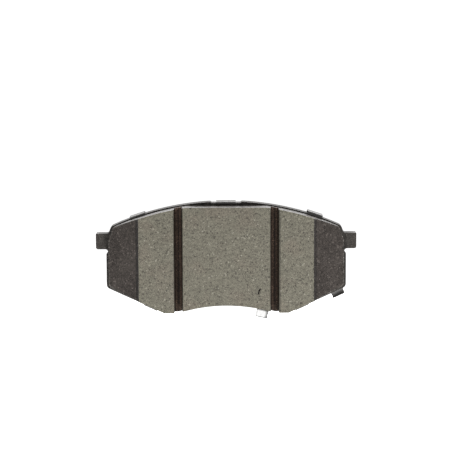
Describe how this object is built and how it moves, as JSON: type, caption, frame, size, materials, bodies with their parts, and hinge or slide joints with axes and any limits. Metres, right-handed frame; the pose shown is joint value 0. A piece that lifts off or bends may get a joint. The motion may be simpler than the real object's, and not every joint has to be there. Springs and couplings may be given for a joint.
{
  "type": "disc brake pad",
  "caption": "Disc brake pad with a slotted, chamfered friction block on an eared steel backing plate, layered shims and a spring wear indicator.",
  "frame": {"origin": "on the cover shim's rear face, where the caliper piston pushes, on the pad's middle line", "axes": "+X along the pad from ear to ear, +Y away from the wheel centre, +Z out of the friction face towards the disc"},
  "size_m": [0.138, 0.0625, 0.0173],
  "materials": {
    "plate_paint": "satin black powder coat on stamped steel",
    "friction_material": "ground face of moulded friction compound, painted black on its sides",
    "underlayer_material": "rough moulded compound",
    "bond_adhesive": "cured resin film",
    "shim_rubber": "matt rubber coating",
    "shim_steel": "cold rolled sheet",
    "damping_film": "soft viscoelastic film",
    "shim_adhesive_film": "pressure-sensitive adhesive film",
    "cover_coating": "thin dark grey coating on sheet steel",
    "spring_steel": "bright zinc plate",
    "rivet_steel": "zinc plated"
  },
  "bodies": {
    "root": {"backing_plate": "plate_paint", "bond_film": "bond_adhesive", "underlayer": "underlayer_material", "friction_lining": "friction_material", "shim_adhesive": "shim_adhesive_film", "shim_inner_rubber": "shim_rubber", "shim_core": "shim_steel", "shim_damping_layer": "damping_film", "shim_outer_steel": "shim_steel", "shim_outer_rubber": "shim_rubber", "cover_shim": "cover_coating", "wear_indicator": "spring_steel", "indicator_rivet": "rivet_steel"}
  },
  "joints": []
}
